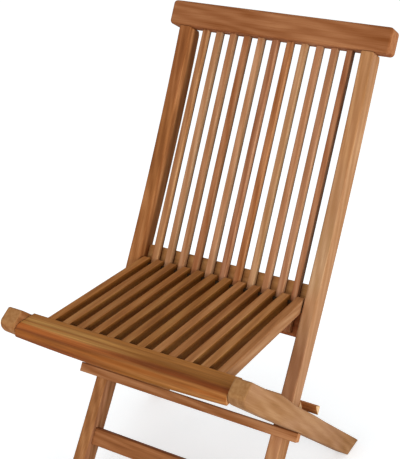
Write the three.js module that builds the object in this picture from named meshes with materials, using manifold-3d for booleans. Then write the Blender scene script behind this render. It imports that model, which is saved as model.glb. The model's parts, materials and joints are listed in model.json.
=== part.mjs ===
import * as THREE from 'three';
import { mergeVertices } from 'three/addons/utils/BufferGeometryUtils.js';
import Module from 'manifold-3d';

// Folding teak chair, in millimetres, +Z up, standing on Z = 0, with its front towards -Y.
// Everything of the back frame is placed in its own leaning frame: Y runs backwards, square
// to the back, and Z runs up along it, from the underside of the top rail. "Drop" is a
// distance down from there.

// Back frame
const railDatumHeight = 854.8;
const backLeanDegrees = 28.5;
const stileSpan = 430;
const stileWidth = 27;
const stileDepth = 42.5;
const stileBowRadius = 5300;
const stileBowDrop = 252;
const stileEdge = 3;
const stileShoulder = 8;

// Top rail
const topRailLength = 484;
const topRailOffset = 2;
const topRailHeight = 50.6;
const topRailDepth = 40;
const topRailProud = 1.6;
const topRailCorner = 8;
const topRailEdge = 4.5;

// Lower back rail
const lowerRailDrop = 457;
const lowerRailHeight = 105;
const lowerRailDepth = 10;
const lowerRailCorner = 4;
const lowerRailEdge = 2;

// Back slats
const backSlatCount = 11;
const backSlatWidth = 13;
const backSlatDepth = 16.5;
const backSlatSetBack = 7.9;
const backSlatEdge = 2;
const backSlatFoot = 7;

// Seat
const seatSlatCount = 12;
const seatEndGap = 2.95;
const slatSideGap = 1.05;
const seatThickness = 25;
const seatSlatReach = 298;
const seatSlatTail = 13.5;
const seatTailRadius = 9;
const seatSlatEdge = 2;
const seatToBackDegrees = 24.8;
const frontRailDepth = 53.5;
const frontRailBow = 8;
const frontRailNoseDepth = 17.5;
const frontRailNoseDrop = 12;
const frontRailToeRadius = 6;
const frontRailEdge = 1.5;

// Hinge rod at the back of the seat
const hingeBelowRailTop = 40;
const hingeSetBack = 4;
const rodDiameter = 7;
const rodSocketDepth = 18;

// Rear legs
const legThickness = 33;
const legPinInset = 28.7;
const legPinRise = 2;
const legToBackDegrees = 15.17;
const legGap = 2;
const legEdge = 3;
const legNose = 24.5;
const legNoseDrop = 3;
const legNoseTiltDegrees = 15.4;
const legNoseRadius = 4;
const legTopAtNose = 22.7;
const legTopAtShoulder = 23.8;
const legShoulderReach = 55;
const legTopAtHump = 27.7;
const legHumpReach = 119;
const legTopAtCrossing = 23.3;
const legCrossingReach = 325;
const legTopAtWaist = 22;
const legWaistPastCrossing = 71;
const legTopAtFoot = 20.7;
const legSoleAtNose = 20.4;
const legBellyReach = 120;
const legSole = 19;
const legSoleReach = 253;
const legPinDiameter = 8;
const legPinSocket = 24;

// Crossbars that guide the rear legs
const frontBarHeight = 19;
const frontBarDepth = 15.5;
const rearBarHeight = 23;
const rearBarDepth = 25;
const rearBarDip = 6;
const rearBarToe = 17.8;
const rearBarKnee = 10.3;
const rearBarKneeDepth = 8;
const rearBarWaist = 4.4;
const rearBarWaistDepth = 16;
const rearBarHeel = -1;
const barInset = 2.5;
const barCorner = 3;
const barEdge = 1.5;
const barSlideGap = 0.5;
const dowelDiameter = 8;
const dowelInBar = 9;
const dowelInStile = 15;

// Front stretcher between the front feet
const stretcherDrop = 844;
const stretcherHeight = 35;
const stretcherDepth = 18;
const stretcherSetBack = 9;
const stretcherEdge = 3;

// Joints and fits
const fit = 0.3;
const turningGap = 0.5;
const tenonLength = 14;
const tenonShoulder = 4;
const slatTenonLength = 12;
const slatTenonShoulder = 2;
const seatTenonLength = 16;
const seatTenonShoulder = 4.5;
const stileTenonLength = 26;
const screwDiameter = 3.6;
const screwHeadDiameter = 7.5;
const screwHeadDepth = 2.4;
const screwInSlat = 7;
const overrun = 5;

// Facets
const arcSteps = 3;
const noseSteps = 5;
const stileSteps = 8;
const cornerSteps = 2;
const roundSides = 16;
const screwSides = 8;
const bowSteps = 8;

// Derived places in the leaning back frame
const halfTurn = 180;
const radians = Math.PI / halfTurn;
const lean = backLeanDegrees * radians;
const seatAngle = seatToBackDegrees * radians;
const legAngle = legToBackDegrees * radians;
const worldLegAngle = lean + legAngle;
const bowCentre = new THREE.Vector2(-stileBowRadius, -stileBowDrop);
const frontArc = stileBowRadius;
const backArc = stileBowRadius + stileDepth;
const stileInner = stileSpan / 2 - stileWidth;
const stileCentreX = (stileSpan - stileWidth) / 2;
const slatPitch = (2 * (stileInner - seatEndGap + slatSideGap) + backSlatWidth) / seatSlatCount;
const seatSlatWidth = slatPitch - backSlatWidth - 2 * slatSideGap;
const topRailFront = bowY(frontArc, 0) - topRailProud;
const topRailBack = topRailFront + topRailDepth;
const lowerRailFront = backSlatSetBack + backSlatDepth + fit;
const lowerRailCentreZ = -lowerRailDrop - lowerRailHeight / 2;
const hingeDrop = lowerRailDrop + hingeBelowRailTop;
const legInner = stileSpan / 2 + legGap;
const frontRailHalf = legInner - turningGap;
const barHalf = legInner + legThickness - barInset;
const hinge = new THREE.Vector2(hingeSetBack, -hingeDrop);
const legPinReach = seatSlatReach + fit + legPinInset;
const legPin = pointFromHinge(-legPinReach, legPinRise);
const legAlong = new THREE.Vector2(Math.cos(legAngle), -Math.sin(legAngle));
const legUp = new THREE.Vector2(Math.sin(legAngle), Math.cos(legAngle));

const tones = {
  honey: '#b27c48',
  amber: '#a86c3c',
  straw: '#bd8f5d',
  umber: '#8c5d3a',
  russet: '#94562f',
};

const wasm = await Module();
wasm.setup();

function bowY(radius, z) {
  return bowCentre.x + Math.sqrt(radius ** 2 - (z - bowCentre.y) ** 2);
}

function bowAngleAt(radius, z) {
  return Math.asin((z - bowCentre.y) / radius);
}

function bowAngleAtFloor(radius) {
  const centreHeight = railDatumHeight + bowCentre.y * Math.cos(lean) - bowCentre.x * Math.sin(lean);
  return lean - Math.asin(centreHeight / radius);
}

function pointFromHinge(y, z) {
  const point = new THREE.Vector2(y, z).rotateAround(new THREE.Vector2(), seatAngle);
  return point.add(hinge);
}

function heightAboveFloor(point) {
  return railDatumHeight + point.y * Math.cos(lean) - point.x * Math.sin(lean);
}

// Where a line along the leg, a distance above its pin, meets a face of the stile.
function legCrossing(radius, rise) {
  const start = legPin.clone().addScaledVector(legUp, rise).sub(bowCentre);
  const along = start.dot(legAlong);
  const reach = -along + Math.sqrt(along ** 2 - start.lengthSq() + radius ** 2);
  const meet = start.addScaledVector(legAlong, reach);
  return { point: meet.clone().add(bowCentre), angle: Math.atan2(meet.y, meet.x) };
}

function placed(frame) {
  const turn = new THREE.Matrix4().makeRotationX(frame.angle);
  return turn.setPosition(0, frame.point.x, frame.point.y);
}

function toSolid(geometry) {
  const bare = geometry.clone();
  bare.deleteAttribute('normal');
  bare.deleteAttribute('uv');
  const merged = mergeVertices(bare);
  return new wasm.Manifold(new wasm.Mesh({
    numProp: 3,
    vertProperties: new Float32Array(merged.attributes.position.array),
    triVerts: new Uint32Array(merged.index.array),
  }));
}

function fromSolid(solid) {
  const mesh = solid.getMesh();
  const geometry = new THREE.BufferGeometry();
  geometry.setAttribute('position', new THREE.BufferAttribute(mesh.vertProperties, 3));
  geometry.setIndex(new THREE.BufferAttribute(mesh.triVerts, 1));
  geometry.computeVertexNormals();
  return geometry;
}

function shaped(body, { add = [], cut = [] }) {
  let solid = toSolid(body);
  add.forEach((piece) => { solid = solid.add(toSolid(piece)); });
  cut.forEach((piece) => { solid = solid.subtract(toSolid(piece)); });
  return fromSolid(solid);
}

function extruded(shape, depth, edge, { steps = 1, curveSegments = arcSteps } = {}) {
  const geometry = new THREE.ExtrudeGeometry(shape, {
    depth: depth - 2 * edge,
    steps,
    curveSegments,
    bevelEnabled: edge > 0,
    bevelThickness: edge,
    bevelSize: edge,
    bevelOffset: -edge,
    bevelSegments: cornerSteps,
  });
  return geometry.translate(0, 0, edge - depth / 2);
}

// A side outline drawn in Y and Z, given a width along X and centred on X = 0.
function acrossX(shape, width, edge, facets) {
  const axes = new THREE.Matrix4().makeBasis(
    new THREE.Vector3(0, 1, 0),
    new THREE.Vector3(0, 0, 1),
    new THREE.Vector3(1, 0, 0),
  );
  return extruded(shape, width, edge, facets).applyMatrix4(axes);
}

// A front outline drawn in X and Z, given a depth along Y and centred on Y = 0.
function alongY(shape, depth, edge) {
  return extruded(shape, depth, edge).rotateX(Math.PI / 2);
}

function rectangle(width, height, corner) {
  const shape = new THREE.Shape();
  const x = width / 2;
  const y = height / 2;
  shape.moveTo(corner - x, -y);
  shape.absarc(x - corner, corner - y, corner, -Math.PI / 2, 0, false);
  shape.absarc(x - corner, y - corner, corner, 0, Math.PI / 2, false);
  shape.absarc(corner - x, y - corner, corner, Math.PI / 2, Math.PI, false);
  shape.absarc(corner - x, corner - y, corner, Math.PI, 1.5 * Math.PI, false);
  return shape;
}

function box(width, depth, height, x, y, z) {
  return new THREE.BoxGeometry(width, depth, height).translate(x, y, z);
}

function roundBar(diameter, length, sides = roundSides) {
  return new THREE.CylinderGeometry(diameter / 2, diameter / 2, length, sides);
}

function barAcross(diameter, length) {
  return roundBar(diameter, length).rotateZ(Math.PI / 2);
}

function piece(name, geometry, tone, group) {
  const material = new THREE.MeshStandardMaterial({ color: tone, roughness: 0.6, metalness: 0 });
  const mesh = new THREE.Mesh(geometry, material);
  mesh.name = name;
  group.add(mesh);
  return mesh;
}

function metalPiece(name, geometry, group) {
  const mesh = piece(name, geometry, '#9c9487', group);
  mesh.material.roughness = 0.4;
  mesh.material.metalness = 0.8;
  return mesh;
}

function joined(geometries) {
  let solid = toSolid(geometries[0]);
  geometries.slice(1).forEach((next) => { solid = solid.add(toSolid(next)); });
  return fromSolid(solid);
}

function slatPlace(index, count) {
  return (index - (count - 1) / 2) * slatPitch;
}

function slatName(prefix, index) {
  return `${prefix}_${String(index + 1).padStart(2, '0')}`;
}

function eachSide(action) {
  [['left', -1], ['right', 1]].forEach(([name, side]) => action(name, side));
}

// Stiles
function stileShape() {
  const shape = new THREE.Shape();
  const { x, y } = bowCentre;
  const shoulderZ = -stileShoulder;
  shape.absarc(x, y, frontArc, bowAngleAtFloor(frontArc), bowAngleAt(frontArc, -fit), false);
  shape.lineTo(topRailBack, -fit);
  shape.absarc(x, y, backArc, bowAngleAt(backArc, shoulderZ), bowAngleAtFloor(backArc), true);
  return shape;
}

function stileTenonSize() {
  return { width: stileWidth - 2 * tenonShoulder, depth: topRailDepth - 2 * tenonShoulder };
}

function stileTenon(clearance) {
  const size = stileTenonSize();
  const height = stileTenonLength + clearance + overrun;
  const z = stileTenonLength + clearance - height / 2;
  const y = topRailFront + topRailDepth / 2;
  return box(size.width + 2 * clearance, size.depth + 2 * clearance, height, 0, y, z);
}

function lowerRailTenon(clearance, side) {
  const length = tenonLength + clearance + overrun;
  const x = side * (stileInner + tenonLength + clearance - length / 2);
  const depth = lowerRailDepth - slatTenonShoulder * 2 + 2 * clearance;
  const height = lowerRailHeight - 2 * tenonShoulder + 2 * clearance;
  return box(length, depth, height, x, lowerRailFront + lowerRailDepth / 2, lowerRailCentreZ);
}

function stretcherFrame() {
  const z = -stretcherDrop - stretcherHeight / 2;
  const angle = bowAngleAt(frontArc, z);
  const radius = frontArc + stretcherSetBack + stretcherDepth / 2;
  const point = new THREE.Vector2(Math.cos(angle), Math.sin(angle)).multiplyScalar(radius).add(bowCentre);
  return { point, angle };
}

function stretcherTenon(clearance, side) {
  const length = tenonLength + clearance + overrun;
  const x = side * (stileInner + tenonLength + clearance - length / 2);
  const depth = stretcherDepth - 2 * tenonShoulder + 2 * clearance;
  const height = stretcherHeight - 2 * tenonShoulder + 2 * clearance;
  return box(length, depth, height, x, 0, 0);
}

function barDowel(clearance, side, frame, middle, intoStile) {
  const length = dowelInBar + dowelInStile + 2 * clearance;
  const y = intoStile * (dowelInStile - dowelInBar) / 2;
  const dowel = roundBar(dowelDiameter + 2 * clearance, length).translate(side * stileCentreX, y, middle);
  return dowel.applyMatrix4(placed(frame));
}

function frontBarFrame() {
  return legCrossing(frontArc, -legSole);
}

function rearBarFrame() {
  return legCrossing(backArc, legTopAtCrossing);
}

function frontBarDowel(clearance, side) {
  return barDowel(clearance, side, frontBarFrame(), -frontBarHeight / 2 - barSlideGap, 1);
}

function rearBarDowel(clearance, side) {
  return barDowel(clearance, side, rearBarFrame(), rearBarHeight / 2 - rearBarDip, -1);
}

function rodSocket() {
  const length = 2 * (stileInner + rodSocketDepth + fit);
  return barAcross(rodDiameter + 2 * fit, length).translate(0, hinge.x, hinge.y);
}

function stile(name, side, group) {
  const body = acrossX(stileShape(), stileWidth, stileEdge, { curveSegments: stileSteps });
  const x = side * stileCentreX;
  const cut = [
    lowerRailTenon(fit, side),
    stretcherTenon(fit, side).applyMatrix4(placed(stretcherFrame())),
    rodSocket(),
    frontBarDowel(fit, side),
    rearBarDowel(fit, side),
  ].map((tool) => tool.translate(-x, 0, 0));
  const mesh = piece(`${name}_stile`, shaped(body, { add: [stileTenon(0)], cut }), tones.honey, group);
  mesh.position.x = x;
}

// Top rail
function slatTenon(clearance, x) {
  const height = slatTenonLength + clearance + overrun;
  const z = slatTenonLength + clearance - height / 2;
  const y = backSlatSetBack + backSlatDepth / 2;
  const width = backSlatWidth - 2 * slatTenonShoulder + 2 * clearance;
  const depth = backSlatDepth - 2 * slatTenonShoulder + 2 * clearance;
  return box(width, depth, height, x, y, z);
}

function topRail(group) {
  const shape = rectangle(topRailLength, topRailHeight, topRailCorner);
  const body = alongY(shape, topRailDepth, topRailEdge);
  body.translate(topRailOffset, topRailFront + topRailDepth / 2, topRailHeight / 2);
  const cut = [-1, 1].map((side) => stileTenon(fit).translate(side * stileCentreX, 0, 0));
  for (let i = 0; i < backSlatCount; i += 1) {
    cut.push(slatTenon(fit, slatPlace(i, backSlatCount)));
  }
  piece('top_rail', shaped(body, { cut }), tones.russet, group);
}

// Slat screws, driven from behind the lower rail
function slatScrew(clearance, index) {
  const shankRadius = screwDiameter / 2 + clearance;
  const headRadius = screwHeadDiameter / 2 + clearance;
  const length = lowerRailDepth + screwInSlat + clearance;
  const shank = roundBar(2 * shankRadius, length, screwSides).translate(0, -fit - length / 2, 0);
  const head = new THREE.CylinderGeometry(headRadius, shankRadius, screwHeadDepth, screwSides);
  head.translate(0, -fit - screwHeadDepth / 2, 0);
  const parts = [shank, head];
  if (clearance > 0) {
    parts.push(roundBar(2 * headRadius, overrun, screwSides).translate(0, overrun / 2 - fit, 0));
  }
  const x = slatPlace(index, backSlatCount);
  return joined(parts).translate(x, lowerRailFront + lowerRailDepth, lowerRailCentreZ);
}

function slatScrews(group) {
  for (let i = 0; i < backSlatCount; i += 1) {
    metalPiece(slatName('slat_screw', i), slatScrew(0, i), group);
  }
}

// Back slats
function backSlat(index, group) {
  const length = lowerRailDrop + lowerRailHeight - backSlatFoot - fit;
  const shape = rectangle(backSlatWidth, backSlatDepth, backSlatEdge);
  const x = slatPlace(index, backSlatCount);
  const body = extruded(shape, length, 0);
  body.translate(x, backSlatSetBack + backSlatDepth / 2, -fit - length / 2);
  const geometry = shaped(body, { add: [slatTenon(0, x)], cut: [slatScrew(fit, index)] });
  const tone = [tones.amber, tones.honey, tones.umber][index % 3];
  piece(slatName('back_slat', index), geometry, tone, group);
}

// Lower back rail
function lowerRail(group) {
  const shape = rectangle(2 * (stileInner - fit), lowerRailHeight, lowerRailCorner);
  const body = alongY(shape, lowerRailDepth, lowerRailEdge);
  body.translate(0, lowerRailFront + lowerRailDepth / 2, lowerRailCentreZ);
  const cut = [];
  for (let i = 0; i < backSlatCount; i += 1) {
    cut.push(slatScrew(fit, i));
  }
  const add = [lowerRailTenon(0, -1), lowerRailTenon(0, 1)];
  piece('lower_back_rail', shaped(body, { add, cut }), tones.russet, group);
}

// Front stretcher
function frontStretcher(group) {
  const shape = rectangle(stretcherDepth, stretcherHeight, stretcherEdge);
  const body = acrossX(shape, 2 * (stileInner - fit), 0);
  const add = [stretcherTenon(0, -1), stretcherTenon(0, 1)];
  const geometry = shaped(body, { add }).applyMatrix4(placed(stretcherFrame()));
  piece('front_stretcher', geometry, tones.umber, group);
}

// Front crossbar: its top lies parallel to the underside of the legs
function frontBar(group) {
  const frame = frontBarFrame();
  const rise = frontBarDepth * Math.tan(legAngle + frame.angle);
  const top = -barSlideGap;
  const shape = new THREE.Shape([
    new THREE.Vector2(-fit, top),
    new THREE.Vector2(-fit - frontBarDepth, top + rise),
    new THREE.Vector2(-fit - frontBarDepth, top + rise - frontBarHeight),
    new THREE.Vector2(-fit, top + rise - frontBarHeight),
  ]);
  const body = acrossX(shape, 2 * barHalf, barEdge).applyMatrix4(placed(frame));
  const cut = [frontBarDowel(fit, -1), frontBarDowel(fit, 1)];
  piece('front_crossbar', shaped(body, { cut }), tones.russet, group);
}

// Rear crossbar: its ends are bevelled underneath, where the legs turn as they slide past
function rearBarBevel() {
  const back = fit + rearBarDepth;
  const low = -rearBarDip - overrun;
  const shape = new THREE.Shape([
    new THREE.Vector2(-overrun, low),
    new THREE.Vector2(back + overrun, low),
    new THREE.Vector2(back + overrun, rearBarHeel),
    new THREE.Vector2(back, rearBarHeel),
    new THREE.Vector2(rearBarWaistDepth, rearBarWaist),
    new THREE.Vector2(rearBarKneeDepth, rearBarKnee),
    new THREE.Vector2(fit, rearBarToe),
    new THREE.Vector2(-overrun, rearBarToe),
  ]);
  return acrossX(shape, legThickness + legGap + overrun, 0);
}

function rearBar(group) {
  const shape = rectangle(rearBarDepth, rearBarHeight, barCorner);
  const body = acrossX(shape, 2 * barHalf, barEdge);
  body.translate(0, fit + rearBarDepth / 2, rearBarHeight / 2 - rearBarDip);
  body.applyMatrix4(placed(rearBarFrame()));
  const bevelX = stileSpan / 2 + (legThickness + legGap + overrun) / 2;
  const cut = [rearBarDowel(fit, -1), rearBarDowel(fit, 1)];
  [-1, 1].forEach((side) => {
    cut.push(rearBarBevel().translate(side * bevelX, 0, 0).applyMatrix4(placed(rearBarFrame())));
  });
  piece('rear_crossbar', shaped(body, { cut }), tones.russet, group);
}

function barDowels(group) {
  eachSide((name, side) => {
    piece(`${name}_front_dowel`, frontBarDowel(0, side), tones.straw, group);
    piece(`${name}_rear_dowel`, rearBarDowel(0, side), tones.straw, group);
  });
}

function hingeRod(group) {
  const rod = metalPiece('hinge_rod', barAcross(rodDiameter, 2 * (stileInner + rodSocketDepth)), group);
  rod.position.set(0, hinge.x, hinge.y);
}

// Seat, in the frame of its hinge: Y runs backwards along the seat and Z square to it
function seatSlatShape() {
  const shape = new THREE.Shape();
  const z = seatThickness / 2;
  const arcY = seatSlatTail - seatTailRadius;
  const front = -seatSlatReach - overrun;
  shape.moveTo(front, -z);
  shape.lineTo(arcY, -z);
  shape.absarc(arcY, seatTailRadius - z, seatTailRadius, -Math.PI / 2, 0, false);
  shape.absarc(arcY, z - seatTailRadius, seatTailRadius, 0, Math.PI / 2, false);
  shape.lineTo(front, z);
  return shape;
}

function seatTenon(clearance) {
  const length = seatTenonLength + clearance + overrun;
  const y = -seatSlatReach - seatTenonLength - clearance + length / 2;
  const width = seatSlatWidth - 2 * seatTenonShoulder + 2 * clearance;
  const height = seatThickness - 2 * seatTenonShoulder + 2 * clearance;
  return box(width, length, height, 0, y, 0);
}

function beforeSlat() {
  const length = 2 * overrun;
  return box(seatSlatWidth + length, length, seatThickness + length, 0, -seatSlatReach - length / 2, 0);
}

function seatSlat(index, group) {
  const long = acrossX(seatSlatShape(), seatSlatWidth, seatSlatEdge);
  const body = shaped(long, { cut: [beforeSlat()] });
  const hole = barAcross(rodDiameter + 2 * fit, seatSlatWidth + overrun);
  const geometry = shaped(body, { add: [seatTenon(0)], cut: [hole] });
  const tone = [tones.amber, tones.umber, tones.honey, tones.amber][index % 4];
  const mesh = piece(slatName('seat_slat', index), geometry, tone, group);
  mesh.position.x = slatPlace(index, seatSlatCount);
}

// Front rail
function frontRailShape() {
  const shape = new THREE.Shape();
  const back = -seatSlatReach - fit;
  const front = back - frontRailDepth;
  const z = seatThickness / 2;
  const nose = frontRailNoseDepth;
  const drop = frontRailNoseDrop;
  const toe = frontRailToeRadius;
  shape.moveTo(back + overrun, -z);
  shape.lineTo(back + overrun, z);
  shape.absellipse(front + nose, z - drop, nose, drop, Math.PI / 2, Math.PI, false);
  shape.absarc(front + toe, toe - z, toe, Math.PI, 1.5 * Math.PI, false);
  return shape;
}

// Pushes a straight rail's front forward at its middle, and leaves its back straight.
function bowForward(geometry) {
  const position = geometry.attributes.position;
  const back = -seatSlatReach - fit;
  for (let i = 0; i < position.count; i += 1) {
    const acrossShare = position.getX(i) / frontRailHalf;
    const forwardShare = (back - position.getY(i)) / frontRailDepth;
    const shift = frontRailBow * (1 - acrossShare ** 2) * forwardShare;
    position.setY(i, position.getY(i) - shift);
  }
  return geometry;
}

function legPinAt(clearance, side) {
  const length = 2 * legPinSocket + legGap + 2 * clearance;
  const x = side * (stileSpan / 2 + legGap / 2);
  return barAcross(legPinDiameter + 2 * clearance, length).translate(x, -legPinReach, legPinRise);
}

function behindRail() {
  const length = 2 * overrun;
  const y = -seatSlatReach - fit + length / 2;
  return box(stileSpan + length, length, seatThickness + length, 0, y, 0);
}

function frontRail(group) {
  const straight = acrossX(frontRailShape(), 2 * frontRailHalf, frontRailEdge, { steps: bowSteps });
  const cut = [legPinAt(fit, -1), legPinAt(fit, 1), behindRail()];
  for (let i = 0; i < seatSlatCount; i += 1) {
    cut.push(seatTenon(fit).translate(slatPlace(i, seatSlatCount), 0, 0));
  }
  piece('front_rail', shaped(bowForward(straight), { cut }), tones.amber, group);
}

function legPins(group) {
  eachSide((name, side) => metalPiece(`${name}_leg_pin`, legPinAt(0, side), group));
}

// Rear legs, in the frame of their pin: Y runs along the board to the foot and Z square to it
function legFloorReach(rise) {
  return (heightAboveFloor(legPin) + rise * Math.cos(worldLegAngle)) / Math.sin(worldLegAngle);
}

function legShape() {
  const shape = new THREE.Shape();
  const tilt = legNoseTiltDegrees * radians;
  const climb = (legTopAtNose + legNoseDrop - legNoseRadius * (1 - Math.sin(tilt))) / Math.cos(tilt);
  const brow = legNoseRadius * Math.cos(tilt) + climb * Math.sin(tilt) - legNose;
  shape.moveTo(legFloorReach(-legSole), -legSole);
  shape.lineTo(legSoleReach, -legSole);
  shape.lineTo(legBellyReach, -legSoleAtNose);
  shape.lineTo(0, -legSoleAtNose);
  shape.absellipse(0, -legNoseDrop, legNose, legSoleAtNose - legNoseDrop, -Math.PI / 2, -Math.PI, true);
  shape.absarc(brow, legTopAtNose - legNoseRadius, legNoseRadius, Math.PI - tilt, Math.PI / 2, true);
  shape.splineThru([
    new THREE.Vector2(legShoulderReach, legTopAtShoulder),
    new THREE.Vector2(legHumpReach, legTopAtHump),
    new THREE.Vector2((legHumpReach + legCrossingReach) / 2, legTopAtCrossing),
    new THREE.Vector2(legCrossingReach, legTopAtCrossing),
    new THREE.Vector2(legCrossingReach + legWaistPastCrossing, legTopAtWaist),
  ]);
  shape.lineTo(legFloorReach(legTopAtFoot), legTopAtFoot);
  return shape;
}

function rearLeg(name, side, group) {
  const body = acrossX(legShape(), legThickness, legEdge, { curveSegments: noseSteps });
  const x = side * (legInner + legThickness / 2);
  const socket = legPinAt(fit, side).translate(-x, legPinReach, -legPinRise);
  const mesh = piece(`${name}_rear_leg`, shaped(body, { cut: [socket] }), tones.straw, group);
  mesh.position.x = x;
}

// Assembly
function backFrame() {
  const back = new THREE.Group();
  eachSide((name, side) => stile(name, side, back));
  topRail(back);
  for (let i = 0; i < backSlatCount; i += 1) {
    backSlat(i, back);
  }
  slatScrews(back);
  lowerRail(back);
  frontStretcher(back);
  frontBar(back);
  rearBar(back);
  barDowels(back);
  hingeRod(back);
  back.position.z = railDatumHeight;
  back.rotation.x = -lean;
  return back;
}

function seat() {
  const group = new THREE.Group();
  for (let i = 0; i < seatSlatCount; i += 1) {
    seatSlat(i, group);
  }
  frontRail(group);
  legPins(group);
  group.position.set(0, hinge.x, hinge.y);
  group.rotation.x = seatAngle;
  return group;
}

function rearLegs() {
  const group = new THREE.Group();
  eachSide((name, side) => rearLeg(name, side, group));
  group.position.set(0, -legPinReach, legPinRise);
  group.rotation.x = -seatAngle - legAngle;
  return group;
}

const chair = new THREE.Group();
const back = backFrame();
const seatGroup = seat();
seatGroup.add(rearLegs());
back.add(seatGroup);
chair.add(back);

// The origin lies on the floor, under the middle of the chair
const bounds = new THREE.Box3().setFromObject(chair, true);
chair.position.y = -(bounds.min.y + bounds.max.y) / 2;

export default chair;
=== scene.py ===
import json
import math
import random

import bpy
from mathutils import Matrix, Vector

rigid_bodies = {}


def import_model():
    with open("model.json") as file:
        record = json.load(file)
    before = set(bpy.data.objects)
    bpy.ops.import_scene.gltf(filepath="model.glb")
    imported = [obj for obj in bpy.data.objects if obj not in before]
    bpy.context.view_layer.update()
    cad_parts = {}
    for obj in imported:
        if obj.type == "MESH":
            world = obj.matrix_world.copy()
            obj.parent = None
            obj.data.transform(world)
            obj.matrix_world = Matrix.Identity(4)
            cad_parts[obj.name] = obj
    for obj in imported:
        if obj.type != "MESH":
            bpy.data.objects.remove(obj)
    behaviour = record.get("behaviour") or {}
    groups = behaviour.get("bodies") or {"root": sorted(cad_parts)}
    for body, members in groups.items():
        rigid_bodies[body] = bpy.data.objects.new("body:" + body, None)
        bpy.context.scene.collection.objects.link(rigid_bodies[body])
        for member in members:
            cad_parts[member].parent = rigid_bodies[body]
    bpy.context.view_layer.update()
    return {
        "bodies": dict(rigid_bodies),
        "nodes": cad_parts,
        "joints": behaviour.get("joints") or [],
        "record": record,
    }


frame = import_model()

# Camera: the photograph's angle, with the shift that its cropping needs
CAMERA_AT = (0.8371, -1.3690, 1.3618)
CAMERA_PITCH = math.radians(26.44)
CAMERA_YAW = math.radians(27.56)
IMAGE_SIZE = (400, 459)
FOCAL_PIXELS = 947.9
AXIS_PIXEL = (265.06, 223.34)
SENSOR_MM = 36.0

# The way the grain runs: a turn about X, and the axis that follows the fibres after it
IN_BACK = (math.radians(-28.5), 2)
ACROSS_BACK = (math.radians(-28.5), 0)
IN_SEAT = (math.radians(-3.7), 1)
ACROSS_SEAT = (math.radians(-3.7), 0)
IN_LEG = (math.radians(-43.67), 1)

# Axes of a turned frame
ACROSS = 0
DEEP = 1

# Teak: dark streak, body and pale streak of each board
CHESTNUT = ("#84481f", "#9c6037", "#b07448")
AMBER = ("#844c24", "#9c5f31", "#b07242")
TAN = ("#a0703f", "#b07d50", "#c49464")
SAND = ("#8a5f34", "#9c6f42", "#ae8356")
BROWN = ("#8c592c", "#9f6836", "#ae7a44")
HAZEL = ("#965f31", "#ab713d", "#b9824c")
RUSSET = ("#884e2c", "#9f6640", "#b07a54")
FAWN = ("#9c683c", "#aa7347", "#bc895c")
PINK = "#ad8265"
RAIL_TAN = "#d19a51"
RAIL_OLIVE = "#a96c30"
RAIL_DARK = "#8e561f"
RAIL_ORANGE = "#bd672b"
RAIL_RED = "#7d3b14"
RAIL_RUST = "#96531e"
RAIL_HONEY = "#a86b34"
BRIGHT_STEEL = ("#6f6b66", "#8d8a86")
DARK_STEEL = ("#33271c", "#4a3a2a")

# The front rail's bands from its underside to its back edge, at its left and its right end
LEFT_BANDS = (
    (0.1, RAIL_RED), (0.2, RAIL_RUST), (0.3, RAIL_RUST), (0.38, RAIL_RED), (0.47, RAIL_ORANGE),
    (0.56, RAIL_ORANGE), (0.63, RAIL_TAN), (0.7, RAIL_OLIVE), (0.77, RAIL_TAN), (0.88, RAIL_OLIVE),
)
RIGHT_BANDS = (
    (0.08, RAIL_DARK), (0.15, RAIL_HONEY), (0.24, RAIL_RUST), (0.31, RAIL_RUST), (0.38, RAIL_HONEY),
    (0.47, RAIL_RED), (0.56, RAIL_RED), (0.66, RAIL_DARK), (0.79, RAIL_OLIVE), (0.94, RAIL_OLIVE),
)
BAND_SLOPE = 0.7
BAND_WANDER = 0.012
BAND_SHARE = 0.9
BAND_LINES = (0.8, 1.18)

# Places that the shading follows, in metres; all but the bow's are in a board's turned frame
BOW_CENTRE = (0, -4.50684, 3.16228)
BOW_RADIUS = 5.3
SLAT_FRONT = -0.1617
SEAT_RAIL_BACK = -0.2877
CROSSBAR_TOP = 0.1583
STRETCHER_TOP = 0.0351
FRONT_RAIL_BACK_SUM = 0.229
FRONT_RAIL_FRONT_SUM = 0.164

# Where each shading starts and where it is full, in metres
STILE_REAR_EDGE = (BOW_RADIUS + 0.014, BOW_RADIUS + 0.02)
SLAT_REAR_EDGE = (SLAT_FRONT + 0.0105, SLAT_FRONT + 0.0125)
SEAT_GAP_END_EDGE = (SEAT_RAIL_BACK + 0.022, SEAT_RAIL_BACK + 0.006)
CROSSBAR_TOP_EDGE = (CROSSBAR_TOP - 0.003, CROSSBAR_TOP - 0.0018)
STRETCHER_TOP_EDGE = (STRETCHER_TOP - 0.003, STRETCHER_TOP - 0.0018)
BACK_RAIL_FOOT_EDGE = (0.395, 0.372)
LEFT_TOP_EDGE = (0.69, 0.73)
LEFT_FOOT_EDGE = (0.24, 0.2)
RIGHT_TOP_EDGE = (0.63, 0.68)
RIGHT_PALE_EDGE = (0.59, 0.53)
RIGHT_PALE_END_EDGE = (0.46, 0.43)
UNDER_SEAT_EDGE = (0.38, 0.34)
RIGHT_FOOT_EDGE = (0.25, 0.21)
BAND_CHANGE_EDGE = (-0.09, 0.06)

# The same, as how squarely a face looks along an axis, or as the value of a figure
SIDE_EDGE = (0.6, 0.8)
CUT_END_EDGE = (0.75, 0.92)
PORE_EDGE = (0.6, 0.72)
BLUSH_EDGE = (0.46, 0.62)
BAND_LINE_EDGE = (0.36, 0.64)
FIGURE_EDGE = (0.3, 0.6)
SPECK_EDGE = (0.3, 0.7)

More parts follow.
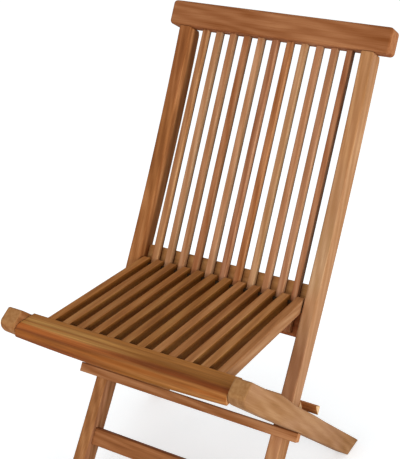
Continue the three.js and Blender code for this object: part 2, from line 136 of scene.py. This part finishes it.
# Floor and studio, in metres, watts and strengths
FLOOR_SIZE = 40
FLOOR_DROP = 0.0006
FLOOR_GREY = (0.86, 0.86, 0.86, 1)
FLOOR_SHADOW_AT = (0.06, 0.02, 0)
FLOOR_SHADOW_EDGE = (0.05, 0.6)
FLOOR_LIFT = (0.36, 0.62)
FLOOR_LIFT_TINT = (0.94, 1, 1.03, 1)
WHITE = (1, 1, 1, 1)
ROOM_STRENGTH = 0.5
BACKDROP_STRENGTH = 1.0
LAMP_AIM = (0, 0, 0.5)
KEY_LAMP = {"place": (2.6, -0.9, 0.8), "size": 1.6, "power": 46}
FRONT_LAMP = {"place": (-0.6, -2.8, 1.6), "size": 2.0, "power": 26}

# Figures of the wood: how many times longer than wide they run along the grain, how fine they
# are, their detail and their distortion
STREAK = (22, 120, 4.0, 0.4)
LINE = (34, 430, 3.0, 0.0)
RING = (9, 34, 2.0, 5.0)
CLOUD = (5, 24, 2.0, 0.4)
BLUSH = (5, 17, 3.0, 0.4)
PORE = (34, 1300, 1.0, 0.0)
SPECK = (1, 180, 2.0, 0.0)
WANDER = (14, 60, 3.0, 0.5)
BAND_LINE = (34, 300, 4.0, 0.0)
FIGURE_PLACE_REACH = 3

# How much each figure counts
STREAK_WEIGHT = 0.4
LINE_WEIGHT = 0.2
RING_WEIGHT = 0.1
CLOUD_WEIGHT = 0.2
SLAT_CLOUD_WEIGHT = 0.15
TONE_REACH = 0.13
PORE_SHARE = 0.35
BLUSH_SHARE = 0.35

# Surface of the wood and the steel
WOOD_SHINE = 0.12
WOOD_ROUGHNESS = (0.85, 0.7)
STEEL_ROUGHNESS = (0.5, 0.3)
GRIME_SCALE = 300
GRIME_DETAIL = 3.0
SOFT_EDGE = 0.0016
SOFT_EDGE_SAMPLES = 4
BUMP_STRENGTH = 0.25
BUMP_HEIGHT = 0.0004

# What a board's tones are multiplied by, in red, green and blue; the painted light and shade among them are
# marked
AS_IS = (1, 1, 1)
EVERY_BOARD_SHADE = (1.055, 1.105, 1.27)
FRONT_RAIL_SHADE = (1.01, 1.05, 1.16)
# Painted shade: the seat slats' sides darkened where they face the shaded gaps between slats, and darker
# still near the front rail
SEAT_GAP_PAINTED_SHADE = (0.6, 0.54, 0.29)
SEAT_GAP_END_PAINTED_SHADE = (0.4, 0.36, 0.3)
# Painted light: the last seat slat's sides tinted as its lit outer side looks
LAST_SIDE_PAINTED_LIGHT = (0.86, 0.98, 1.2)
# Painted light on the back slats' sides
SLAT_SIDE_PAINTED_LIGHT = (1.13, 1.33, 1.42)
# Painted shade on the rear part of the back slats' sides
SLAT_REAR_PAINTED_SHADE = (0.3, 0.27, 0.24)
# Painted light: the last back slat's side below the seat, lifted out of its painted side shade
LAST_SLAT_FOOT_PAINTED_LIGHT = (2.4, 2.6, 2.4)
# Painted shade: the lower back rail darker below the seat
BACK_RAIL_FOOT_PAINTED_SHADE = (0.83, 0.57, 0.55)
# Painted light on the left stile's sides
STILE_SIDE_PAINTED_LIGHT = (1.1, 1.15, 1.2)
# Painted shade on the rear part of the left stile's inner side
STILE_REAR_PAINTED_SHADE = (0.68, 0.63, 0.5)
LEFT_TOP_SHADE = (0.8, 0.72, 0.69)
LEFT_FOOT_SHADE = (1.13, 1.3, 1.6)
# Painted shade: the left stile's side darker near the foot
LEFT_FOOT_SIDE_PAINTED_SHADE = (0.78, 0.76, 0.9)
RIGHT_TOP_SHADE = (1.0, 0.93, 0.82)
RIGHT_PALE_SHADE = (1.13, 1.27, 1.42)
# Painted shade: the right stile's front darker under the seat; the next one lifts it again near the foot
UNDER_SEAT_PAINTED_SHADE = (0.8, 0.7, 0.65)
RIGHT_FOOT_SHADE_LIFT = (1.25, 1.33, 1.35)
# Painted shade: the right stile's side darker near the foot
RIGHT_FOOT_SIDE_PAINTED_SHADE = (0.75, 0.67, 0.55)
CROSSBAR_END_SHADE = (1.3, 2.1, 3.7)
# Painted shadow: a dark band along the front crossbar's top, under the front rail
CROSSBAR_TOP_PAINTED_SHADOW = (0.42, 0.32, 0.22)
STRETCHER_TOP_SHADE = (0.6, 0.5, 0.42)
LEFT_NOSE_SHADE = (1.03, 1.1, 1.08)
RIGHT_NOSE_SHADE = (1.05, 1.01, 0.88)

# Each board's tones and shade; a wide one also has the way of its grain and how its figure differs
WIDE_BOARDS = {
    "top_rail": (CHESTNUT, (0.98, 0.98, 0.92), ACROSS_BACK,
                 {"streaky": 0.16, "cloudy": 0.5, "contrast": 0.95}),
    "left_stile": (AMBER, (1.04, 1.07, 0.99), IN_BACK,
                   {"streaky": 0.14, "cloudy": 0.55, "contrast": 1.1}),
    "right_stile": (TAN, (0.97, 0.95, 0.94), IN_BACK,
                    {"streaky": 0.14, "cloudy": 0.45, "contrast": 0.95}),
    "lower_back_rail": (HAZEL, (1.27, 1.4, 1.42), ACROSS_BACK, {}),
    "front_stretcher": (AMBER, (0.98, 1.03, 1.12), ACROSS_BACK, {}),
    "front_crossbar": (CHESTNUT, (1.09, 1.2, 1.2), ACROSS_BACK, {}),
    "rear_crossbar": (HAZEL, (1.17, 1.05, 0.9), ACROSS_BACK, {"end_shade": CROSSBAR_END_SHADE}),
    "front_rail": (HAZEL, AS_IS, ACROSS_SEAT, {"contrast": 1.3}),
    "left_rear_leg": (SAND, (1.0, 0.82, 0.67), IN_LEG,
                      {"cloudy": 0.35, "end_shade": LEFT_NOSE_SHADE}),
    "right_rear_leg": (SAND, (0.9, 0.85, 0.8), IN_LEG,
                       {"streaky": 0.2, "cloudy": 0.45, "end_shade": RIGHT_NOSE_SHADE}),
}
BACK_SLATS = (
    (CHESTNUT, (1.09, 1.24, 1.27)),
    (FAWN, (1.08, 1.13, 1.22)),
    (FAWN, (1.02, 0.99, 1.02)),
    (CHESTNUT, (1.08, 1.13, 1.19)),
    (TAN, (1.03, 0.95, 0.99)),
    (RUSSET, (1.0, 1.0, 1.0)),
    (CHESTNUT, (1.15, 1.2, 1.2)),
    (TAN, (1.0, 0.98, 1.0)),
    (FAWN, (1.05, 1.02, 1.09)),
    (FAWN, (0.97, 0.95, 1.05)),
    (RUSSET, (1.15, 1.17, 1.14)),
)
# How much painted light each back slat's sides get beside the others', from left to right; the last slat's
# low level paints the right stile's shadow on it
BACK_SLAT_SIDE_LIGHT_LEVELS = (1.3, 0.9, 0.97, 0.9, 0.8, 1.25, 1.2, 1.0, 1.0, 1.3, 0.55)
SEAT_SLATS = (
    (BROWN, (1.16, 1.06, 0.9)),
    (BROWN, (1.07, 1.01, 0.94)),
    (BROWN, (0.99, 0.93, 0.87)),
    (BROWN, (1.06, 0.98, 0.9)),
    (BROWN, (1.01, 0.97, 0.89)),
    (BROWN, (1.01, 0.96, 0.87)),
    (BROWN, (1.03, 0.99, 0.87)),
    (HAZEL, (1.1, 1.11, 1.16)),
    (BROWN, (1.13, 1.09, 1.15)),
    (HAZEL, (1.12, 1.13, 1.2)),
    (HAZEL, (1.06, 1.06, 1.04)),
    (HAZEL, (0.99, 0.97, 1.03)),
)


def make_camera():
    data = bpy.data.cameras.new("camera")
    camera = bpy.data.objects.new("camera", data)
    bpy.context.collection.objects.link(camera)
    long_side = max(IMAGE_SIZE)
    data.sensor_width = SENSOR_MM
    data.lens = FOCAL_PIXELS * SENSOR_MM / long_side
    data.shift_x = (IMAGE_SIZE[0] / 2 - AXIS_PIXEL[0]) / long_side
    data.shift_y = (AXIS_PIXEL[1] - IMAGE_SIZE[1] / 2) / long_side
    camera.location = CAMERA_AT
    camera.rotation_euler = (math.pi / 2 - CAMERA_PITCH, 0, CAMERA_YAW)
    bpy.context.scene.camera = camera


def add_node(tree, kind, **inputs):
    node = tree.nodes.new(kind)
    for name, value in inputs.items():
        node.inputs[name.replace("_", " ")].default_value = value
    return node


def make_floor():
    bpy.ops.mesh.primitive_plane_add(size=FLOOR_SIZE, location=(0, 0, -FLOOR_DROP))
    floor = bpy.context.object
    floor.name = "floor"
    material = bpy.data.materials.new("floor")
    material.use_nodes = True
    tree = material.node_tree
    tree.nodes.clear()
    plain = add_node(tree, "ShaderNodeBsdfDiffuse", Color=FLOOR_GREY)
    lift = add_node(tree, "ShaderNodeEmission", Color=FLOOR_LIFT_TINT)
    tree.links.new(floor_lift(tree), lift.inputs["Strength"])
    bright = tree.nodes.new("ShaderNodeAddShader")
    choose = tree.nodes.new("ShaderNodeMixShader")
    output = tree.nodes.new("ShaderNodeOutputMaterial")
    tree.links.new(plain.outputs[0], bright.inputs[0])
    tree.links.new(lift.outputs[0], bright.inputs[1])
    tree.links.new(seen_directly(tree), choose.inputs[0])
    tree.links.new(plain.outputs[0], choose.inputs[1])
    tree.links.new(bright.outputs[0], choose.inputs[2])
    tree.links.new(choose.outputs[0], output.inputs[0])
    floor.data.materials.append(material)


def floor_lift(tree):
    """How much light the floor gives to the camera: more of it away from the chair's shadow."""
    coordinates = tree.nodes.new("ShaderNodeTexCoord")
    away = distance(tree, coordinates.outputs["Object"], FLOOR_SHADOW_AT)
    return spread(tree, away, *FLOOR_SHADOW_EDGE, *FLOOR_LIFT)


def seen_directly(tree):
    """One for what the camera sees, also in a mirror or through glass, and none for the rest."""
    path = tree.nodes.new("ShaderNodeLightPath")
    value = path.outputs["Is Camera Ray"]
    for name in ("Is Glossy Ray", "Is Transmission Ray"):
        either = tree.nodes.new("ShaderNodeMath")
        either.operation = "MAXIMUM"
        tree.links.new(value, either.inputs[0])
        tree.links.new(path.outputs[name], either.inputs[1])
        value = either.outputs[0]
    return value


def make_world():
    world = bpy.data.worlds.new("studio")
    bpy.context.scene.world = world
    world.use_nodes = True
    tree = world.node_tree
    tree.nodes.clear()
    soft = add_node(tree, "ShaderNodeBackground", Color=WHITE, Strength=ROOM_STRENGTH)
    white = add_node(tree, "ShaderNodeBackground", Color=WHITE, Strength=BACKDROP_STRENGTH)
    choose = tree.nodes.new("ShaderNodeMixShader")
    output = tree.nodes.new("ShaderNodeOutputWorld")
    tree.links.new(seen_directly(tree), choose.inputs[0])
    tree.links.new(soft.outputs[0], choose.inputs[1])
    tree.links.new(white.outputs[0], choose.inputs[2])
    tree.links.new(choose.outputs[0], output.inputs[0])


def add_lamp(name, place, size, power):
    data = bpy.data.lights.new(name, "AREA")
    data.size = size
    data.energy = power
    lamp = bpy.data.objects.new(name, data)
    bpy.context.collection.objects.link(lamp)
    lamp.location = place
    direction = Vector(LAMP_AIM) - Vector(place)
    lamp.rotation_euler = direction.to_track_quat("-Z", "Y").to_euler()


def make_lights():
    add_lamp("key", **KEY_LAMP)
    add_lamp("front", **FRONT_LAMP)


def linear(code):
    """A web colour as linear red, green and blue, by the sRGB rule, and opaque alpha."""
    channels = [int(code[i:i + 2], 16) / 255 for i in (1, 3, 5)]
    steps = [c / 12.92 if c <= 0.04045 else ((c + 0.055) / 1.055) ** 2.4 for c in channels]
    return (*steps, 1)


def new_material(name):
    material = bpy.data.materials.new(name)
    material.use_nodes = True
    tree = material.node_tree
    tree.nodes.clear()
    return material, tree


def in_frame(tree, source, frame, stretch=1.0, place=(0, 0, 0)):
    """Coordinates turned to the board and pressed together along its grain."""
    turn, axis = frame
    mapping = tree.nodes.new("ShaderNodeMapping")
    mapping.vector_type = "TEXTURE"
    mapping.inputs["Location"].default_value = place
    mapping.inputs["Rotation"].default_value = (turn, 0, 0)
    mapping.inputs["Scale"].default_value = [stretch if i == axis else 1 for i in range(3)]
    tree.links.new(source, mapping.inputs["Vector"])
    return mapping.outputs["Vector"]


def noise(tree, vector, scale, detail, distortion=0.0):
    node = add_node(tree, "ShaderNodeTexNoise", Scale=scale, Detail=detail, Distortion=distortion)
    tree.links.new(vector, node.inputs["Vector"])
    return node.outputs["Fac"]


def rings(tree, vector, scale, detail, distortion):
    node = add_node(tree, "ShaderNodeTexWave", Scale=scale, Detail=detail, Distortion=distortion)
    node.bands_direction = "DIAGONAL"
    tree.links.new(vector, node.inputs["Vector"])
    return node.outputs["Fac"]


def texture(tree, here, frame, place, figure, pattern=noise):
    stretch, *settings = figure
    return pattern(tree, in_frame(tree, here, frame, stretch, place), *settings)


def weighted(tree, parts):
    """The sum of some values, each times its weight."""
    total = None
    for value, weight in parts:
        node = tree.nodes.new("ShaderNodeMath")
        node.operation = "MULTIPLY_ADD"
        tree.links.new(value, node.inputs[0])
        node.inputs[1].default_value = weight
        node.inputs[2].default_value = 0
        if total is not None:
            tree.links.new(total, node.inputs[2])
        total = node.outputs[0]
    return total


def product(tree, first, second):
    node = tree.nodes.new("ShaderNodeMath")
    node.operation = "MULTIPLY"
    tree.links.new(first, node.inputs[0])
    tree.links.new(second, node.inputs[1])
    return node.outputs[0]


def distance(tree, vector, place, across=1):
    """The way from a place, or only the way up and deep if across is none."""
    offset = tree.nodes.new("ShaderNodeVectorMath")
    offset.operation = "MULTIPLY_ADD"
    tree.links.new(vector, offset.inputs[0])
    offset.inputs[1].default_value = (across, 1, 1)
    offset.inputs[2].default_value = [-number for number in place]
    length = tree.nodes.new("ShaderNodeVectorMath")
    length.operation = "LENGTH"
    tree.links.new(offset.outputs[0], length.inputs[0])
    return length.outputs["Value"]


def part_of(tree, vector, axis):
    split = tree.nodes.new("ShaderNodeSeparateXYZ")
    tree.links.new(vector, split.inputs[0])
    return split.outputs[axis]


def ramp(tree, value, stops):
    stops = tuple(stops)
    node = tree.nodes.new("ShaderNodeValToRGB")
    elements = node.color_ramp.elements
    while len(elements) < len(stops):
        elements.new(0.5)  # any place will do, because the next lines set them all
    for element, (place, colour) in zip(elements, stops):
        element.position = place
        element.color = colour if isinstance(colour, tuple) else linear(colour)
    tree.links.new(value, node.inputs[0])
    return node.outputs[0]


def spread(tree, value, low, high, start=0.0, end=1.0):
    """A value from low to high, spread from start to end and held there on both sides."""
    node = tree.nodes.new("ShaderNodeMapRange")
    for i, number in enumerate((low, high, start, end)):
        node.inputs[i + 1].default_value = number
    tree.links.new(value, node.inputs[0])
    return node.outputs[0]


def blended(tree, share, first, second, mode="MIX"):
    """Two colours mixed; a mix node has them at its inputs 6 and 7 and gives the result at 2."""
    node = tree.nodes.new("ShaderNodeMix")
    node.data_type = "RGBA"
    node.blend_type = mode
    for socket, value in ((node.inputs[0], share), (node.inputs[6], first), (node.inputs[7], second)):
        if isinstance(value, (float, tuple)):
            socket.default_value = value
        else:
            tree.links.new(value, socket)
    return node.outputs[2]


def facing(tree, coordinates, frame, axis):
    """How squarely a face looks along one axis of the board's frame, forwards or backwards."""
    size = tree.nodes.new("ShaderNodeMath")
    size.operation = "ABSOLUTE"
    turned = in_frame(tree, coordinates.outputs["Normal"], frame)
    tree.links.new(part_of(tree, turned, axis), size.inputs[0])
    return size.outputs[0]


def shaded(tones, shade):
    """Linear colours of a board's tones, times its own shade and the one of every board."""
    whole = (*(a * b for a, b in zip(shade, EVERY_BOARD_SHADE)), 1)
    return [tuple(a * b for a, b in zip(linear(code), whole)) for code in tones]


def grain(tree, here, frame, place, streaky, cloudy):
    """The figure of a board as one number, from its dark to its pale wood."""
    return weighted(tree, (
        (texture(tree, here, frame, place, STREAK), streaky),
        (texture(tree, here, frame, place, LINE), LINE_WEIGHT),
        (texture(tree, here, frame, place, RING, rings), RING_WEIGHT),
        (texture(tree, here, frame, place, CLOUD), cloudy),
    ))


def teak(name, tones, frame, contrast=1.0, streaky=STREAK_WEIGHT, cloudy=CLOUD_WEIGHT,
         extras=(), end_shade=AS_IS):
    material, tree = new_material(name)
    luck = random.Random(name)
    place = [luck.uniform(-FIGURE_PLACE_REACH, FIGURE_PLACE_REACH) for _ in range(3)]
    coordinates = tree.nodes.new("ShaderNodeTexCoord")
    here = coordinates.outputs["Object"]
    figure = grain(tree, here, frame, place, streaky, cloudy)
    middle = (streaky + cloudy + LINE_WEIGHT + RING_WEIGHT) / 2
    reach = TONE_REACH / contrast
    deep, body, pale = tones
    colour = ramp(tree, figure, ((middle - reach, deep), (middle, body), (middle + reach, pale)))
    for extra in extras:
        colour = extra(tree, coordinates, frame, place, colour)
    pores = texture(tree, here, frame, place, PORE)
    colour = blended(tree, spread(tree, pores, *PORE_EDGE, 0.0, PORE_SHARE), colour, deep)
    ends = spread(tree, facing(tree, coordinates, frame, frame[1]), *CUT_END_EDGE)
    specks = texture(tree, here, frame, place, SPECK)
    end_colour = ramp(tree, specks, zip(SPECK_EDGE, (body, pale)))
    end_colour = blended(tree, 1.0, end_colour, (*end_shade, 1), "MULTIPLY")
    colour = blended(tree, ends, colour, end_colour)
    add_surface(tree, colour, figure)
    return material


# An extra takes a board's colour and gives it back changed
# Every use of this paints light or shade on a board's sides
def sides_times(shade):
    def extra(tree, coordinates, frame, place, colour):
        sides = spread(tree, facing(tree, coordinates, frame, ACROSS), *SIDE_EDGE)
        return blended(tree, sides, colour, (*shade, 1), "MULTIPLY")
    return extra


def times_where(place_of, edge, shade, axis=None):
    """Multiplies the wood's colour past an edge, on all faces or on those that look along one axis; on some
    boards it is painted light or shade, on others a change of tone.
    """
    def extra(tree, coordinates, frame, place, colour):
        share = spread(tree, place_of(tree, coordinates.outputs["Object"]), *edge)
        if axis is not None:
            faces = spread(tree, facing(tree, coordinates, frame, axis), *SIDE_EDGE)
            share = product(tree, share, faces)
        return blended(tree, share, colour, (*shade, 1), "MULTIPLY")
    return extra


def height(tree, here):
    return part_of(tree, here, 2)


def bow_depth(tree, here):
    """The distance from the centre that the stiles' bow is drawn about."""
    return distance(tree, here, BOW_CENTRE, 0)


def back_depth(tree, here):
    return part_of(tree, in_frame(tree, here, IN_BACK), 1)


def back_rise(tree, here):
    return part_of(tree, in_frame(tree, here, IN_BACK), 2)


def seat_depth(tree, here):
    return part_of(tree, in_frame(tree, here, IN_SEAT), 1)


def blushed(code, share):
    def extra(tree, coordinates, frame, place, colour):
        patches = texture(tree, coordinates.outputs["Object"], frame, place[::-1], BLUSH)
        patches = spread(tree, patches, *BLUSH_EDGE, 0.0, share)
        return blended(tree, patches, colour, linear(code))
    return extra


def rail_bands(tree, coordinates, frame, place, colour):
    """The lengthwise bands of the front rail, which change from its left to its right end."""
    here = coordinates.outputs["Object"]
    turned = in_frame(tree, here, (frame[0], 0))
    wander = texture(tree, here, frame, place, WANDER)
    parts = ((part_of(tree, turned, 1), BAND_SLOPE), (part_of(tree, turned, 2), 1.0), (wander, BAND_WANDER))
    middle = BAND_WANDER / 2
    across = spread(tree, weighted(tree, parts), FRONT_RAIL_FRONT_SUM + middle,
                    FRONT_RAIL_BACK_SUM + middle)
    along = spread(tree, part_of(tree, turned, 0), *BAND_CHANGE_EDGE)
    bands = blended(tree, along, ramp(tree, across, LEFT_BANDS), ramp(tree, across, RIGHT_BANDS))
    lines = texture(tree, here, frame, place, BAND_LINE)
    bands = blended(tree, 1.0, bands, spread(tree, lines, *BAND_LINE_EDGE, *BAND_LINES), "MULTIPLY")
    bands = blended(tree, 1.0, bands, (*FRONT_RAIL_SHADE, 1), "MULTIPLY")
    return blended(tree, BAND_SHARE, colour, bands)


def add_surface(tree, colour, figure):
    shader = add_node(tree, "ShaderNodeBsdfPrincipled", Specular_IOR_Level=WOOD_SHINE)
    output = tree.nodes.new("ShaderNodeOutputMaterial")
    soft = tree.nodes.new("ShaderNodeBevel")
    soft.samples = SOFT_EDGE_SAMPLES
    soft.inputs["Radius"].default_value = SOFT_EDGE
    bump = add_node(tree, "ShaderNodeBump", Strength=BUMP_STRENGTH, Distance=BUMP_HEIGHT)
    tree.links.new(soft.outputs[0], bump.inputs["Normal"])
    tree.links.new(figure, bump.inputs["Height"])
    tree.links.new(bump.outputs[0], shader.inputs["Normal"])
    tree.links.new(spread(tree, figure, *FIGURE_EDGE, *WOOD_ROUGHNESS), shader.inputs["Roughness"])
    tree.links.new(colour, shader.inputs["Base Color"])
    tree.links.new(shader.outputs[0], output.inputs[0])


def steel(name, tones, metallic):
    material, tree = new_material(name)
    coordinates = tree.nodes.new("ShaderNodeTexCoord")
    grime = noise(tree, coordinates.outputs["Object"], GRIME_SCALE, GRIME_DETAIL)
    shader = add_node(tree, "ShaderNodeBsdfPrincipled", Metallic=metallic, Specular_IOR_Level=metallic / 2)
    output = tree.nodes.new("ShaderNodeOutputMaterial")
    tree.links.new(ramp(tree, grime, zip(SPECK_EDGE, tones)), shader.inputs["Base Color"])
    tree.links.new(spread(tree, grime, *SPECK_EDGE, *STEEL_ROUGHNESS), shader.inputs["Roughness"])
    tree.links.new(shader.outputs[0], output.inputs[0])
    return material


def dress(node_name, material):
    for slot in bpy.data.objects[node_name].material_slots:
        slot.link = "OBJECT"
        slot.material = material


def wide_extras():
    """The shading of the wide boards that have some, by the name of the piece; much of it is painted light
    or shade.
    """
    not_pale = [1 / number for number in RIGHT_PALE_SHADE]
    return {
        "left_stile": (
            # Painted light on the sides and painted shade on the rear of the inner side
            sides_times(STILE_SIDE_PAINTED_LIGHT),
            times_where(bow_depth, STILE_REAR_EDGE, STILE_REAR_PAINTED_SHADE, ACROSS),
            times_where(height, LEFT_TOP_EDGE, LEFT_TOP_SHADE, DEEP),
            times_where(height, LEFT_FOOT_EDGE, LEFT_FOOT_SHADE),
            # Painted shade on the side near the foot
            times_where(height, LEFT_FOOT_EDGE, LEFT_FOOT_SIDE_PAINTED_SHADE, ACROSS),
        ),
        "right_stile": (
            blushed(PINK, BLUSH_SHARE),
            times_where(height, RIGHT_TOP_EDGE, RIGHT_TOP_SHADE, DEEP),
            times_where(height, RIGHT_PALE_EDGE, RIGHT_PALE_SHADE, DEEP),
            times_where(height, RIGHT_PALE_END_EDGE, not_pale, DEEP),
            # Painted shade on the front under the seat, lifted again near the foot
            times_where(height, UNDER_SEAT_EDGE, UNDER_SEAT_PAINTED_SHADE, DEEP),
            times_where(height, RIGHT_FOOT_EDGE, RIGHT_FOOT_SHADE_LIFT, DEEP),
            # Painted shade on the side near the foot
            times_where(height, RIGHT_FOOT_EDGE, RIGHT_FOOT_SIDE_PAINTED_SHADE, ACROSS),
        ),
        # Painted shade below the seat
        "lower_back_rail": (times_where(back_rise, BACK_RAIL_FOOT_EDGE, BACK_RAIL_FOOT_PAINTED_SHADE),),
        "front_stretcher": (times_where(back_rise, STRETCHER_TOP_EDGE, STRETCHER_TOP_SHADE),),
        # Painted shadow along the top, under the front rail
        "front_crossbar": (times_where(back_rise, CROSSBAR_TOP_EDGE, CROSSBAR_TOP_PAINTED_SHADOW),),
        "front_rail": (rail_bands,),
        "right_rear_leg": (blushed(PINK, BLUSH_SHARE),),
    }


def wide_boards():
    extras = wide_extras()
    return {
        name: (tones, shade, frame_of, options | {"extras": extras.get(name, ())})
        for name, (tones, shade, frame_of, options) in WIDE_BOARDS.items()
    }


def back_slats():
    # Painted light on each slat's sides, painted shade on their rear part, and painted light on the last
    # slat's side below the seat
    painted_rear_shade = times_where(back_depth, SLAT_REAR_EDGE, SLAT_REAR_PAINTED_SHADE, ACROSS)
    painted_foot_light = times_where(back_rise, BACK_RAIL_FOOT_EDGE, LAST_SLAT_FOOT_PAINTED_LIGHT, ACROSS)
    boards = {}
    for i, (tones, shade) in enumerate(BACK_SLATS):
        painted_side_light = [BACK_SLAT_SIDE_LIGHT_LEVELS[i] * number for number in SLAT_SIDE_PAINTED_LIGHT]
        last = i == len(BACK_SLATS) - 1
        extras = (sides_times(painted_side_light), painted_rear_shade) + ((painted_foot_light,) if last else ())
        options = {"cloudy": SLAT_CLOUD_WEIGHT, "extras": extras}
        boards[f"back_slat_{i + 1:02d}"] = (tones, shade, IN_BACK, options)
    return boards


def seat_slats():
    # Painted shade on the seat slats' sides in the gaps between them
    gap_painted_shade = (
        sides_times(SEAT_GAP_PAINTED_SHADE),
        times_where(seat_depth, SEAT_GAP_END_EDGE, SEAT_GAP_END_PAINTED_SHADE, ACROSS),
    )
    boards = {}
    for i, (tones, shade) in enumerate(SEAT_SLATS):
        last = i == len(SEAT_SLATS) - 1
        # The last slat gets painted light on its sides instead of the gaps' painted shade
        extras = (sides_times(LAST_SIDE_PAINTED_LIGHT),) if last else gap_painted_shade
        options = {"cloudy": SLAT_CLOUD_WEIGHT, "extras": extras}
        boards[f"seat_slat_{i + 1:02d}"] = (tones, shade, IN_SEAT, options)
    return boards


def dowels():
    names = [f"{side}_{place}_dowel" for place in ("front", "rear") for side in ("left", "right")]
    return {name: (SAND, AS_IS, IN_BACK, {}) for name in names}


def dress_wood():
    boards = wide_boards() | back_slats() | seat_slats() | dowels()
    for node_name, (tones, shade, frame_of, options) in boards.items():
        dress(node_name, teak(f"teak_{node_name}", shaded(tones, shade), frame_of, **options))


def dress_metal():
    bright = steel("zinc_steel", BRIGHT_STEEL, metallic=1.0)
    dark = steel("dark_steel", DARK_STEEL, metallic=0.0)
    for obj in bpy.data.objects:
        if obj.name == "hinge_rod":
            dress(obj.name, dark)
        elif obj.name.startswith("slat_screw") or obj.name.endswith("leg_pin"):
            dress(obj.name, bright)


make_camera()
make_floor()
make_world()
make_lights()
dress_wood()
dress_metal()
bpy.context.scene.view_settings.view_transform = "Standard"
